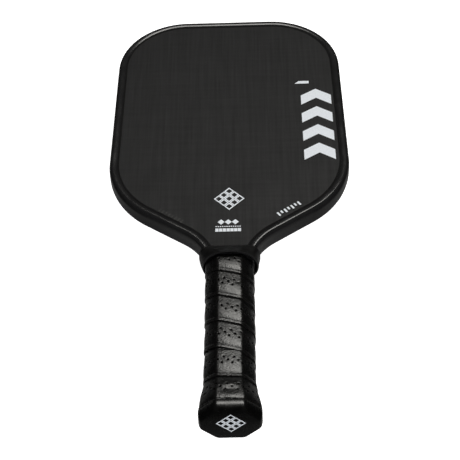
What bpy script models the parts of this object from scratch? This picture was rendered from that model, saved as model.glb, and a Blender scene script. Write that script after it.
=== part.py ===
"""Pickleball paddle: honeycomb panel, carbon face sheets, edge guard and a wrapped eight-sided handle.

The paddle lies flat. X runs across the face, Y from the butt end to the head tip, and Z out of the
front face. The origin is the centre of the paddle's box. Below, lengths along Y are counted from the
butt end, and the parent empty moves them onto that origin.
"""

import math

import bmesh
import bpy

MM = 0.001

# Overall size
LENGTH = 419 * MM
HEAD_HALF_WIDTH = 95.25 * MM

# Head outline: straight top, round corners, leaning sides, round shoulders, straight throat, hollow neck
CORNER_RADIUS = 58.4 * MM
SIDE_LEAN_DEG = 0.68
SHOULDER_RADIUS = 69.8 * MM
SHOULDER_CENTRE_Y = 246.35 * MM
THROAT_DEG = 55.4
NECK_RADIUS = 42.9 * MM
NECK_HALF_WIDTH = 16.5 * MM
ROUND_EDGE_DEG = (0, 22.5, 45, 67.5, 90)
CORNER_STEPS = 14
SHOULDER_STEPS = 10
NECK_STEPS = 7

# Sandwich panel
CLEARANCE = 0.3 * MM
FACE_HALF_THICKNESS = 7.4 * MM
SHEET_THICKNESS = 0.45 * MM
CORE_HALF_THICKNESS = FACE_HALF_THICKNESS - SHEET_THICKNESS - CLEARANCE
TONGUE_HALF_WIDTH = 10 * MM
TONGUE_TOP = 146.4 * MM
TONGUE_END = 5 * MM
CELL_PITCH = 16 * MM
CELLS_TO_EACH_SIDE = 7
CELL_WALL = 0.7 * MM
CORE_RIM = 1.5 * MM

# Edge guard and the tape under it
GUARD_HALF_THICKNESS = 8.5 * MM
GUARD_WEB = 2.3 * MM
GUARD_LIP = 6.5 * MM
GUARD_EDGE_INSET = 3.0 * MM
GUARD_EDGE_HEIGHT = 6.0 * MM
GUARD_END_DEG = 160
TAPE_THICKNESS = 0.3 * MM
TAPE_HALF_WIDTH = 6 * MM
PANEL_INSET = GUARD_WEB + 2 * CLEARANCE + TAPE_THICKNESS

# Handle section: half width, half depth and corner chamfer of an octagon
GRIP_SECTION = (17.95 * MM, 14.25 * MM, 8.9 * MM)
GRIP_THICKNESS = 1.7 * MM
GRIP_START = 9.5 * MM
GRIP_END = 145 * MM
FLARED_GRIP_SECTION = (21.6 * MM, 16.9 * MM, 11.5 * MM)
FLARE_TOP = 31.4 * MM

# Handle pallets
PALLET_INSET = GRIP_THICKNESS + CLEARANCE
PALLET_START = 3.5 * MM
PALLET_END = 147 * MM
PALLET_SPLIT = 0.15 * MM
PALLET_REBATE = 1.05 * MM
RAMP_START = 139 * MM
RAMP_SLOPE = 0.32
LIP_END = 144 * MM

# Butt cap
CAP_SECTION = (21.85 * MM, 17.1 * MM, 11.8 * MM)
CAP_SEAM = 9.2 * MM
CAP_FLOOR = 3.2 * MM
CAP_EDGE_RADIUS = 3.4 * MM
SKIRT_END = 31.1 * MM

# Finishing tape round the top of the grip
FINISH_TAPE_START = 141.4 * MM
FINISH_TAPE_THICKNESS = 0.35 * MM

# Throat collar: place along Y, half width, half depth, and the power of its oval (2 is an ellipse)
COLLAR_WALL = 1.2 * MM
COLLAR_RIM = (139.5 * MM, 20.4 * MM, 18.0 * MM, 2.1)
COLLAR_MIDDLE = (145 * MM, 21.9 * MM, 14.3 * MM, 2.9)
COLLAR_SIDE = (150 * MM, 22.9 * MM, 11.0 * MM, 4.0)
COLLAR_TOP = (152.6 * MM, 19.5 * MM, 9.3 * MM, 8.0)
COLLAR_CAVITY_END = 149.5 * MM
COLLAR_RING_POINTS = 40

# Fasteners
FASTENER_GAP = 0.36 * MM
STAPLE_WIDTH = 9 * MM
STAPLE_WIRE = 0.8 * MM
STAPLE_LEG = 5.6 * MM
STAPLE_Y = 18 * MM
TACK_PLACE = (5 * MM, 40 * MM)
TACK_HEAD_RADIUS = 2.6 * MM
TACK_HEAD_THICKNESS = 0.4 * MM
TACK_SHANK_RADIUS = 0.6 * MM
TACK_LENGTH = 4 * MM
TACK_SIDES = 12

DIAGONAL_SHRINK = 2 - math.sqrt(2)


def clear_scene():
    for obj in list(bpy.data.objects):
        bpy.data.objects.remove(obj, do_unlink=True)


def make_material(name, colour, roughness, metallic=0.0):
    material = bpy.data.materials.new(name)
    material.use_nodes = True
    shader = material.node_tree.nodes["Principled BSDF"]
    shader.inputs["Base Color"].default_value = (*colour, 1.0)
    shader.inputs["Roughness"].default_value = roughness
    shader.inputs["Metallic"].default_value = metallic
    return material


def add_object(name, mesh_data, material, parent):
    """Turns a bmesh into a named object under the parent, with its faces pointing out."""
    bmesh.ops.recalc_face_normals(mesh_data, faces=mesh_data.faces)
    mesh = bpy.data.meshes.new(name)
    mesh_data.to_mesh(mesh)
    mesh_data.free()
    mesh.shade_smooth()
    mesh.set_sharp_from_angle(angle=math.radians(30))
    mesh.materials.append(material)
    obj = bpy.data.objects.new(name, mesh)
    bpy.context.scene.collection.objects.link(obj)
    obj.parent = parent
    return obj


def add_cutter(name, mesh_data, parent):
    cutter = add_object(name, mesh_data, bpy.data.materials["cutter"], parent)
    cutter.hide_render = True
    cutter.display_type = "WIRE"
    return cutter


def cut(obj, *cutters):
    for cutter in cutters:
        modifier = obj.modifiers.new("cut_" + cutter.name, "BOOLEAN")
        modifier.operation = "DIFFERENCE"
        modifier.solver = "EXACT"
        modifier.object = cutter


# Outline of the head


def arc(centre, radius, start_deg, end_deg, steps, hollow=False):
    """Stations along an arc: each is a point and the unit vector out of the paddle there."""
    stations = []
    for step in range(steps + 1):
        angle = math.radians(start_deg + (end_deg - start_deg) * step / steps)
        ray = (math.cos(angle), math.sin(angle))
        point = (centre[0] + radius * ray[0], centre[1] + radius * ray[1])
        outward = (-ray[0], -ray[1]) if hollow else ray
        stations.append((point, outward))
    return stations


def shoulder_centre():
    return (HEAD_HALF_WIDTH - SHOULDER_RADIUS, SHOULDER_CENTRE_Y)


def corner_centre():
    """Where a corner arc touches both the straight top and the leaning side."""
    lean = math.radians(SIDE_LEAN_DEG)
    centre_x, centre_y = shoulder_centre()
    rise = LENGTH - CORNER_RADIUS - centre_y
    spare = SHOULDER_RADIUS - CORNER_RADIUS
    return (centre_x + (spare - rise * math.sin(lean)) / math.cos(lean), LENGTH - CORNER_RADIUS)


def neck_centre():
    """Where the hollow arc touches both the throat line and the neck's half width."""
    angle = math.radians(-THROAT_DEG)
    ray = (math.cos(angle), math.sin(angle))
    centre_x, centre_y = shoulder_centre()
    across = NECK_HALF_WIDTH + NECK_RADIUS
    reach = SHOULDER_RADIUS + NECK_RADIUS
    run = (across - centre_x - reach * ray[0]) / ray[1]
    return (across, centre_y + reach * ray[1] - run * ray[0])


def half_path(neck_end_deg=180):
    """Right half of the outline, from the head's top to the neck."""
    return (
        arc(corner_centre(), CORNER_RADIUS, 90, SIDE_LEAN_DEG, CORNER_STEPS)
        + arc(shoulder_centre(), SHOULDER_RADIUS, SIDE_LEAN_DEG, -THROAT_DEG, SHOULDER_STEPS)
        + arc(neck_centre(), NECK_RADIUS, 180 - THROAT_DEG, neck_end_deg, NECK_STEPS, hollow=True)
    )


def full_path(neck_end_deg):
    """The whole outline as an open path, from the left end round the head to the right end."""
    right = half_path(neck_end_deg)
    left = [((-x, y), (-out_x, out_y)) for (x, y), (out_x, out_y) in reversed(right)]
    return left + right


def moved_in(stations, inset):
    return [(x - out_x * inset, y - out_y * inset) for (x, y), (out_x, out_y) in stations]


def panel_outline(inset, end):
    """Closed outline of the head with its handle tongue, moved in from the guard's outline."""
    right = moved_in(half_path(GUARD_END_DEG), inset)
    half = TONGUE_HALF_WIDTH + PANEL_INSET - inset
    right += [(half, TONGUE_TOP), (half, end)]
    return right + [(-x, y) for x, y in reversed(right)]


# Solids


def prism(outline, low, high):
    """A flat outline carried from one height to another."""
    mesh_data = bmesh.new()
    bottom = mesh_data.faces.new([mesh_data.verts.new((x, y, low)) for x, y in outline])
    lifted = bmesh.ops.extrude_face_region(mesh_data, geom=[bottom], use_keep_orig=True)
    moving = [item for item in lifted["geom"] if isinstance(item, bmesh.types.BMVert)]
    bmesh.ops.translate(mesh_data, verts=moving, vec=(0, 0, high - low))
    return mesh_data


def loft(rings, closed=False):
    """A solid through rings with the same number of points: capped, or closed on itself as a tube."""
    mesh_data = bmesh.new()
    rows = [[mesh_data.verts.new(point) for point in ring] for ring in rings]
    pairs = list(zip(rows, rows[1:]))
    if closed:
        pairs.append((rows[-1], rows[0]))
    for first, second in pairs:
        for index in range(len(first)):
            after = (index + 1) % len(first)
            mesh_data.faces.new((first[index], first[after], second[after], second[index]))
    if not closed:
        mesh_data.faces.new(rows[0])
        mesh_data.faces.new(rows[-1])
    return mesh_data


def shrunk(section, inset):
    """An octagon's half width, half depth and chamfer with every side moved in."""
    width, depth, chamfer = section
    return (width - inset, depth - inset, chamfer - inset * DIAGONAL_SHRINK)


def blended(section, other, share):
    return tuple(a + (b - a) * share for a, b in zip(section, other))


def flared(y):
    """The grip's outer octagon at y: it widens below the top of the flare."""
    share = min(max((FLARE_TOP - y) / (FLARE_TOP - GRIP_START), 0), 1)
    return blended(GRIP_SECTION, FLARED_GRIP_SECTION, share)


def octagon(section, y):
    width, depth, chamfer = section
    corner = [(width, depth - chamfer), (width - chamfer, depth)]
    upper = corner + [(-x, z) for x, z in reversed(corner)]
    whole = upper + [(x, -z) for x, z in reversed(upper)]
    return [(x, y, z) for x, z in whole]


def half_octagon(section, y):
    """The part of an octagon in front of the plane where the two pallets meet."""
    width, depth, chamfer = section
    edge = [(width, PALLET_SPLIT), (width, depth - chamfer), (width - chamfer, depth)]
    whole = edge + [(-x, z) for x, z in reversed(edge)]
    return [(x, y, z) for x, z in whole]


def oval_ring(y, width, depth, power):
    """A superellipse at y, from an ellipse at power 2 towards a rectangle as the power grows."""
    ring = []
    for step in range(COLLAR_RING_POINTS):
        angle = 2 * math.pi * (step + 0.5) / COLLAR_RING_POINTS
        cosine, sine = math.cos(angle), math.sin(angle)
        x = math.copysign(width * abs(cosine) ** (2 / power), cosine)
        z = math.copysign(depth * abs(sine) ** (2 / power), sine)
        ring.append((x, y, z))
    return ring


# Panel


def build_core(material, parent):
    outline = panel_outline(PANEL_INSET, TONGUE_END)
    panel = prism(outline, -CORE_HALF_THICKNESS, CORE_HALF_THICKNESS)
    core = add_object("core_panel", panel, material, parent)
    cut(core, add_cutter("honeycomb_cutter", honeycomb_cells(), parent))


def inside(outline, x, y):
    """Whether a point is inside a closed outline, by the crossings to its right."""
    crossings = 0
    for (x1, y1), (x2, y2) in zip(outline, outline[1:] + outline[:1]):
        if (y1 > y) != (y2 > y) and x < x1 + (y - y1) * (x2 - x1) / (y2 - y1):
            crossings += 1
    return crossings % 2 == 1


def honeycomb_cells():
    """Six-sided prisms in a staggered grid, wherever a whole cell fits inside the core's rim."""
    room = panel_outline(PANEL_INSET + CORE_RIM, TONGUE_END + CORE_RIM)
    radius = (CELL_PITCH - CELL_WALL) / math.sqrt(3)
    row_step = CELL_PITCH * math.sqrt(3) / 2
    mesh_data = bmesh.new()
    for row in range(int(LENGTH / row_step) + 1):
        for column in range(-CELLS_TO_EACH_SIDE, CELLS_TO_EACH_SIDE + 1):
            x = CELL_PITCH * (column + 0.5 * (row % 2))
            y = LENGTH - row * row_step
            corners = hexagon(x, y, radius)
            if all(inside(room, *corner) for corner in corners):
                add_cell(mesh_data, corners)
    return mesh_data


def hexagon(x, y, radius):
    angles = [math.radians(30 + 60 * side) for side in range(6)]
    return [(x + radius * math.cos(angle), y + radius * math.sin(angle)) for angle in angles]


def add_cell(mesh_data, corners):
    reach = CORE_HALF_THICKNESS * 2
    low = [mesh_data.verts.new((x, y, -reach)) for x, y in corners]
    high = [mesh_data.verts.new((x, y, reach)) for x, y in corners]
    mesh_data.faces.new(low)
    mesh_data.faces.new(high)
    for index in range(6):
        after = (index + 1) % 6
        mesh_data.faces.new((low[index], low[after], high[after], high[index]))


def build_face_sheets(material, parent):
    outline = panel_outline(PANEL_INSET, TONGUE_END)
    inner = FACE_HALF_THICKNESS - SHEET_THICKNESS
    add_object("front_face_sheet", prism(outline, inner, FACE_HALF_THICKNESS), material, parent)
    add_object("back_face_sheet", prism(outline, -FACE_HALF_THICKNESS, -inner), material, parent)


# Edge guard


def guard_section():
    """Half of the guard's U as (inset, height) pairs, from the web's outside to its inside."""
    under = FACE_HALF_THICKNESS + CLEARANCE
    top = GUARD_HALF_THICKNESS
    edge = []
    for angle_deg in ROUND_EDGE_DEG:
        angle = math.radians(angle_deg)
        inset = GUARD_EDGE_INSET * (1 - math.cos(angle))
        edge.append((inset, top - GUARD_EDGE_HEIGHT * (1 - math.sin(angle))))
    return edge + [
        (GUARD_LIP - CLEARANCE, top),
        (GUARD_LIP, top - CLEARANCE),
        (GUARD_LIP, under),
        (GUARD_WEB, under),
    ]


def swept(path, section):
    """A solid whose section, in (inset, height) pairs, follows the outline's path."""
    rings = []
    for (x, y), (out_x, out_y) in path:
        rings.append([(x - out_x * inset, y - out_y * inset, z) for inset, z in section])
    return loft(rings)


def build_guard(material, tape_material, parent):
    upper = guard_section()
    section = upper + [(inset, -z) for inset, z in reversed(upper)]
    add_object("edge_guard", swept(full_path(GUARD_END_DEG), section), material, parent)
    inner = PANEL_INSET - CLEARANCE
    outer = inner - TAPE_THICKNESS
    half = TAPE_HALF_WIDTH
    band = [(outer, half), (inner, half), (inner, -half), (outer, -half)]
    add_object("guard_bonding_tape", swept(full_path(GUARD_END_DEG), band), tape_material, parent)


# Handle


def build_pallet(name, side, material, cutters, parent):
    """One half shell of the handle: a rebate for the cap's skirt, a straight run and a ramp to the face."""
    outer = shrunk(GRIP_SECTION, PALLET_INSET)
    rebated = shrunk(outer, PALLET_REBATE)
    drop = (PALLET_END - RAMP_START) * RAMP_SLOPE
    ramped = (outer[0], outer[1] - drop, outer[2] - drop / 2)
    rebate_end = SKIRT_END + CLEARANCE
    rings = [
        half_octagon(rebated, PALLET_START),
        half_octagon(rebated, rebate_end),
        half_octagon(outer, rebate_end + CLEARANCE),
        half_octagon(outer, RAMP_START),
        half_octagon(ramped, PALLET_END),
    ]
    turned = [[(x, y, side * z) for x, y, z in ring] for ring in rings]
    cut(add_object(name, loft(turned), material, parent), *cutters)


def tongue_cutter(parent):
    """The channel for the handle tongue, open to both sides where the head begins to widen."""
    half = TONGUE_HALF_WIDTH + CLEARANCE
    wide = 2 * half
    outline = [(half, 0), (half, LIP_END), (wide, LIP_END), (wide, LENGTH / 2)]
    outline += [(-x, y) for x, y in reversed(outline)]
    depth = FACE_HALF_THICKNESS + CLEARANCE
    return add_cutter("tongue_cutter", prism(outline, -depth, depth), parent)


def build_grip(material, cutters, parent):
    """The wrapped grip as one flared sleeve, thinner at its top where the finishing tape goes round."""
    pressed = FINISH_TAPE_THICKNESS + CLEARANCE
    end_drop = (GRIP_END - RAMP_START) * RAMP_SLOPE
    tape_drop = (FINISH_TAPE_START - CLEARANCE - RAMP_START) * RAMP_SLOPE
    stations = [
        (GRIP_START, 0, 0),
        (FLARE_TOP, 0, 0),
        (RAMP_START, 0, 0),
        (FINISH_TAPE_START - CLEARANCE, 0, tape_drop),
        (FINISH_TAPE_START - CLEARANCE, pressed, tape_drop),
        (GRIP_END, pressed, end_drop),
    ]
    outer = [octagon(lowered(shrunk(flared(y), inset), drop), y) for y, inset, drop in stations]
    inner = [
        octagon(lowered(shrunk(flared(y), GRIP_THICKNESS), drop), y)
        for y, _, drop in reversed(stations)
        if y != FINISH_TAPE_START - CLEARANCE
    ]
    cut(add_object("grip_wrap", loft(outer + inner, closed=True), material, parent), *cutters)


def lowered(section, drop):
    """An octagon made shallower by drop on its front and back."""
    width, depth, chamfer = section
    return (width, depth - drop, chamfer - drop / 2)


def build_finishing_tape(material, parent):
    rings = []
    for y, inset in (
        (FINISH_TAPE_START, FINISH_TAPE_THICKNESS),
        (GRIP_END, FINISH_TAPE_THICKNESS),
        (GRIP_END, 0),
        (FINISH_TAPE_START, 0),
    ):
        drop = (y - RAMP_START) * RAMP_SLOPE
        rings.append(octagon(lowered(shrunk(GRIP_SECTION, inset), drop), y))
    add_object("finishing_tape", loft(rings, closed=True), material, parent)


def build_cap(material, cutters, parent):
    """The butt cap as a cup: a flat end with a round edge, a rim, and a tapering skirt under the grip."""
    edge = CAP_EDGE_RADIUS
    cover = GRIP_THICKNESS + CLEARANCE
    cavity = shrunk(GRIP_SECTION, PALLET_INSET + PALLET_REBATE - CLEARANCE)
    rings = []
    for angle_deg in ROUND_EDGE_DEG:
        angle = math.radians(angle_deg)
        section = shrunk(CAP_SECTION, edge * (1 - math.sin(angle)))
        rings.append(octagon(section, edge * (1 - math.cos(angle))))
    rings += [
        octagon(CAP_SECTION, CAP_SEAM),
        octagon(shrunk(flared(GRIP_START), cover), CAP_SEAM),
        octagon(shrunk(flared(SKIRT_END), cover), SKIRT_END),
        octagon(cavity, SKIRT_END),
        octagon(cavity, CAP_FLOOR),
    ]
    cut(add_object("butt_cap", loft(rings), material, parent), *cutters)


# Collar


def collar_ring(place, inset=0.0):
    y, width, depth, power = place
    return oval_ring(y, width - inset, depth - inset, power)


def between(first, second, y):
    share = (y - first[0]) / (second[0] - first[0])
    return tuple(a + (b - a) * share for a, b in zip(first, second))


def build_collar(material, parent):
    """A thin flared shell, cut to the guard and the face at its top and open round the grip below."""
    places = (COLLAR_RIM, COLLAR_MIDDLE, COLLAR_SIDE, COLLAR_TOP)
    shell = loft([collar_ring(place) for place in places])
    below = between(COLLAR_RIM, COLLAR_MIDDLE, COLLAR_RIM[0] - COLLAR_WALL)
    top = between(COLLAR_MIDDLE, COLLAR_SIDE, COLLAR_CAVITY_END)
    hollow = (below, COLLAR_RIM, COLLAR_MIDDLE, top)
    cavity = loft([collar_ring(place, COLLAR_WALL) for place in hollow])
    cut(
        add_object("throat_collar", shell, material, parent),
        add_cutter("collar_cavity_cutter", cavity, parent),
        panel_cutter(parent),
        lip_cutter("left_lip_cutter", -1, parent),
        lip_cutter("right_lip_cutter", 1, parent),
    )


def panel_cutter(parent):
    """The panel with its guard's web, with clearance all round."""
    half_height = FACE_HALF_THICKNESS + CLEARANCE
    outline = panel_outline(-CLEARANCE, COLLAR_RIM[0])
    return add_cutter("panel_cutter", prism(outline, -half_height, half_height), parent)


def lip_cutter(name, side, parent):
    """The guard's two lips near one of its ends, with clearance all round."""
    stations = arc(neck_centre(), NECK_RADIUS, 180 - THROAT_DEG, 180, NECK_STEPS, hollow=True)
    strip = moved_in(stations, -CLEARANCE) + moved_in(stations, GUARD_LIP + CLEARANCE)[::-1]
    half_height = GUARD_HALF_THICKNESS + CLEARANCE
    outline = [(side * x, y) for x, y in strip]
    return add_cutter(name, prism(outline, -half_height, half_height), parent)


# Fasteners


def staple_top(side):
    """Height of the outside of a staple's crown, seated on the skirt."""
    seat = shrunk(flared(STAPLE_Y), GRIP_THICKNESS + CLEARANCE)[1]
    return side * (seat + FASTENER_GAP + STAPLE_WIRE)


def staple_outline(spare):
    """A U of square wire in the XZ plane, its crown's outside at zero height."""
    half = STAPLE_WIDTH / 2 + spare
    inner = STAPLE_WIDTH / 2 - STAPLE_WIRE - spare
    under = -STAPLE_WIRE - spare
    foot = -STAPLE_LEG - spare
    right = [(half, spare), (half, foot), (inner, foot), (inner, under)]
    return right + [(-x, z) for x, z in reversed(right)]


def staple_mesh(side, spare=0.0):
    half_wire = STAPLE_WIRE / 2 + spare
    top = staple_top(side)
    rings = []
    for y in (STAPLE_Y - half_wire, STAPLE_Y + half_wire):
        rings.append([(x, y, top + side * z) for x, z in staple_outline(spare)])
    return loft(rings)


def tack_mesh(spare=0.0):
    """A round tack driven into the back pallet, its head under the grip."""
    x, y = TACK_PLACE
    seat = -shrunk(GRIP_SECTION, PALLET_INSET)[1] - FASTENER_GAP
    levels = (
        (TACK_HEAD_RADIUS + spare, seat - TACK_HEAD_THICKNESS - spare),
        (TACK_HEAD_RADIUS + spare, seat + spare),
        (TACK_SHANK_RADIUS + spare, seat + spare),
        (TACK_SHANK_RADIUS + spare, seat + TACK_LENGTH + spare),
    )
    rings = []
    for radius, z in levels:
        angles = [2 * math.pi * side / TACK_SIDES for side in range(TACK_SIDES)]
        rings.append([(x + radius * math.cos(a), y + radius * math.sin(a), z) for a in angles])
    return loft(rings)


def build_fasteners(material, parent):
    """The fasteners, and the pockets that they need in the pieces round them."""
    add_object("front_cap_staple", staple_mesh(1), material, parent)
    add_object("back_cap_staple", staple_mesh(-1), material, parent)
    add_object("grip_tack", tack_mesh(), material, parent)
    return {
        "front_staple": add_cutter("front_staple_cutter", staple_mesh(1, CLEARANCE), parent),
        "back_staple": add_cutter("back_staple_cutter", staple_mesh(-1, CLEARANCE), parent),
        "tack": add_cutter("tack_cutter", tack_mesh(CLEARANCE), parent),
    }


def main():
    clear_scene()
    make_material("cutter", (0.8, 0.2, 0.2), 0.5)
    carbon = make_material("raw_carbon", (0.025, 0.025, 0.027), 0.55)
    honeycomb = make_material("honeycomb_plastic", (0.75, 0.75, 0.72), 0.6)
    guard = make_material("guard_plastic", (0.02, 0.02, 0.021), 0.42)
    tape = make_material("bonding_tape", (0.55, 0.55, 0.52), 0.7)
    pallet = make_material("pallet_foam", (0.12, 0.12, 0.12), 0.8)
    leather = make_material("grip_leatherette", (0.03, 0.03, 0.031), 0.4)
    rubber = make_material("collar_rubber", (0.016, 0.016, 0.017), 0.5)
    cap = make_material("cap_rubber", (0.018, 0.018, 0.019), 0.45)
    vinyl = make_material("finishing_vinyl", (0.015, 0.015, 0.016), 0.35)
    steel = make_material("fastener_steel", (0.6, 0.6, 0.62), 0.3, metallic=1.0)

    paddle = bpy.data.objects.new("paddle", None)
    bpy.context.scene.collection.objects.link(paddle)
    paddle.location = (0, -LENGTH / 2, 0)

    pockets = build_fasteners(steel, paddle)
    tongue = tongue_cutter(paddle)
    build_core(honeycomb, paddle)
    build_face_sheets(carbon, paddle)
    build_guard(guard, tape, paddle)
    build_pallet("front_pallet", 1, pallet, (tongue, pockets["front_staple"]), paddle)
    build_pallet("back_pallet", -1, pallet, (tongue, pockets["back_staple"], pockets["tack"]), paddle)
    build_cap(cap, (pockets["front_staple"], pockets["back_staple"]), paddle)
    build_grip(leather, tuple(pockets.values()), paddle)
    build_finishing_tape(vinyl, paddle)
    build_collar(rubber, paddle)


main()
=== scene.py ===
"""Pickleball paddle, lying face up on a pale floor under a large softbox and a soft fill.

Sizes are in metres. Y runs from the butt end to the head tip and Z is up, out of the front face. The
builders below count y from the butt end, and add_piece moves each mesh onto the frame's origin.
"""

import math

import bmesh
import bpy
from mathutils import Matrix, Vector, noise


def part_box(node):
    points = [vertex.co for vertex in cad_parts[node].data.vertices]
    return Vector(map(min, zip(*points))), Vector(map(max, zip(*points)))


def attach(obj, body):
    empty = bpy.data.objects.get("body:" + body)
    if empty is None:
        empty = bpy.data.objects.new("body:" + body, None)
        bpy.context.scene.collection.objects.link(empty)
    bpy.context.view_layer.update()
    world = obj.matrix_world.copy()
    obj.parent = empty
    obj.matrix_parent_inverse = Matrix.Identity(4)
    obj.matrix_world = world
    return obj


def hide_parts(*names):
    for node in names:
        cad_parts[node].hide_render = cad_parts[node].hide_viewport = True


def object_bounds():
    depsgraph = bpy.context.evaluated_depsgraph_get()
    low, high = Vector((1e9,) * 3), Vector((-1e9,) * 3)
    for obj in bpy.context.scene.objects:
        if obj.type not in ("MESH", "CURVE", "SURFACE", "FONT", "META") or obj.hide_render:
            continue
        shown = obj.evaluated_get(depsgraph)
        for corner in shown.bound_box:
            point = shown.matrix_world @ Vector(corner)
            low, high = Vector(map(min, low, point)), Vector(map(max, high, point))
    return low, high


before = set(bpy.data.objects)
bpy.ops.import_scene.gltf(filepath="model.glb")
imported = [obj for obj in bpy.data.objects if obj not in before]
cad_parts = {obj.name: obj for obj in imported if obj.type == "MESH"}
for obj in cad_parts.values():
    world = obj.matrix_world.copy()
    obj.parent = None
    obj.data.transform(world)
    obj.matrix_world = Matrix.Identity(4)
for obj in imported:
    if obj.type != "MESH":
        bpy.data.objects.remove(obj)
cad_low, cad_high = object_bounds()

MM = 0.001

# Driving dimensions, from the frame
BUTT_Y = cad_low.y
LENGTH = cad_high.y - cad_low.y
HEAD_HALF_WIDTH = cad_high.x
FACE_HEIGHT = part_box("front_face_sheet")[1].z
GUARD_HALF_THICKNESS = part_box("edge_guard")[1].z
GRIP_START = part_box("grip_wrap")[0].y - BUTT_Y
GRIP_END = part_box("grip_wrap")[1].y - BUTT_Y
CAP_HALF_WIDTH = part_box("butt_cap")[1].x
CAP_HALF_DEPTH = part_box("butt_cap")[1].z
COLLAR_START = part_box("throat_collar")[0].y - BUTT_Y
COLLAR_HALF_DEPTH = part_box("throat_collar")[1].z

# Head outline: straight top, round corners, leaning sides, round shoulders, straight throat, hollow neck
CORNER_RADIUS = 58.4 * MM
SIDE_LEAN_DEG = 0.68
SHOULDER_RADIUS = 69.8 * MM
SHOULDER_CENTRE = (HEAD_HALF_WIDTH - SHOULDER_RADIUS, 246.35 * MM)
THROAT_DEG = 55.4
NECK_RADIUS = 42.9 * MM
NECK_HALF_WIDTH = 16.5 * MM
GUARD_END_DEG = 160
CORNER_STEPS = 48
SHOULDER_STEPS = 44
NECK_STEPS = 26
PANEL_INSET = 3.2 * MM

# Edge guard section
GUARD_WEB = 2.3 * MM
GUARD_LIP = 6.75 * MM
GUARD_EDGE_INSET = 3.0 * MM
GUARD_EDGE_HEIGHT = 6.0 * MM
GUARD_EDGE_STEPS = 11
GUARD_DOME_END = 6.2 * MM
GUARD_DOME_DROP = 0.45 * MM
GUARD_DOME_STEPS = 6
LIP_EDGE = 0.07 * MM
LIP_REST = 0.03 * MM

# Painted shade: a near-black bead that stands in for the shadow in the gap between the guard's lip and the
# face
SHADE_BEAD_WIDTH = 1.2 * MM
SHADE_BEAD_HEIGHT = 0.12 * MM

# Handle section: half width, half depth and corner chamfer of an octagon
GRIP_SECTION = (18.1 * MM, 14.25 * MM, 9.05 * MM)
FLARED_GRIP_SECTION = (21.6 * MM, 16.9 * MM, 11.5 * MM)
FLARE_TOP = 32.5 * MM
FLARE_LEVEL = 11.6 * MM
FLARE_SOFTNESS = 1.5 * MM
GRIP_CORNER_RADIUS = 4.8 * MM
DIAGONAL_SHRINK = 2 - math.sqrt(2)

# Top of the handle, which thins and then ramps down to the face
RAMP_START = 139 * MM
RAMP_SLOPE = 0.32
THINNING_START = 131 * MM
THINNING = 0.4 * MM

# Grip strip: one perforated strip wound up the handle, each turn over the edge of the one below
TURN_PITCH = 23.4 * MM
STRIP_OVERLAP = 3.0 * MM
STRIP_WIDTH = TURN_PITCH + STRIP_OVERLAP
STRIP_INNER = -1.7 * MM
STRIP_REST = 0.03 * MM
SEAM_AT_FRONT = 76.8 * MM

# Profile across the strip: a groove by the stitched hem, a soft pad above it, then a fall to a thin edge
ACROSS_CROWN = 0.03 * MM
GROOVE_PLACE = 2.65 * MM
GROOVE_RADIUS = 0.42 * MM
GROOVE_DEPTH = 0.09 * MM
HEM_EDGE = (2.3 * MM, 3.0 * MM)
PAD_END = 8.5 * MM
PAD_ROUNDING = 5.5 * MM
PAD_DROP = 0.33 * MM
FALL_START = 9.0 * MM
FALL = 0.65 * MM
TUCK_LENGTH = 1.6 * MM
TUCK = 0.3 * MM
SKIVE = 0.6 * MM

# Perforations: three staggered rows, on a grid of columns along the strip and rows across it. A level
# is one ring of a pit, as its share of the radius and its depth.
HOLE_PITCHES_PER_TURN = 14.667
COLUMNS_PER_PITCH = 12
HOLE_PHASE = 1.43 * MM
HOLE_ROWS_START = 10.125 * MM
HOLE_ROW_STEP = 0.6375 * MM
HOLE_BAND_ROWS = 13
HOLE_ROW_CELLS = ((10, 0), (6, -5), (2, 2))
HOLE_RADIUS = 0.86 * MM
HOLE_LEVELS = ((1.2, 0.02 * MM), (1.02, 0.08 * MM), (0.97, 0.4 * MM), (0.35, 1.5 * MM))
HOLE_SKIN = 0.15 * MM
FASTENER_DEPTH = 0.95 * MM
FASTENER_MARGIN = 1.3 * MM

# How the wound strip sits: crowned facets, slow bumps, a slight sway, and a ripple over the flare
FACET_CROWN = 0.27 * MM
BUMP_SIZE = 6 * MM
BUMP_HEIGHT = 0.05 * MM
FINE_BUMP_HEIGHT = 0.03 * MM
END_ROUND = 0.15 * MM
END_ROUND_LENGTH = 0.25 * MM
SWAY = 0.35 * MM
SWAY_START = (12 * MM, 30 * MM)
SWAY_END = (50 * MM, 75 * MM)
RIPPLE_PLACE = 20.2 * MM
RIPPLE_LENGTH = 13.0 * MM
RIPPLE_HEIGHT = 0.4 * MM
RIPPLE_FADING = 3.4
RIPPLE_WIDTH_SHARE = 0.4

# How the seam climbs: a little faster across the front, but nearly level in the lowest turn
FRONT_CLIMB = 0.18
LOWEST_LEVEL = 0.8
LEVELLING_TURNS = (1.2, 1.7)

# Cloth simulation that swells the cushioning
SWELL_STEP = 3.0 * MM
SWELL_ROWS = 13
SWELL_FRAMES = 20
SWELL_HEIGHT = 0.3 * MM

# Room for the finishing tape under the collar
FINISH_TAPE_START = 141.4 * MM
FINISH_TAPE_EDGE = 0.4 * MM
FINISH_TAPE_ROOM = 0.65 * MM

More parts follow.
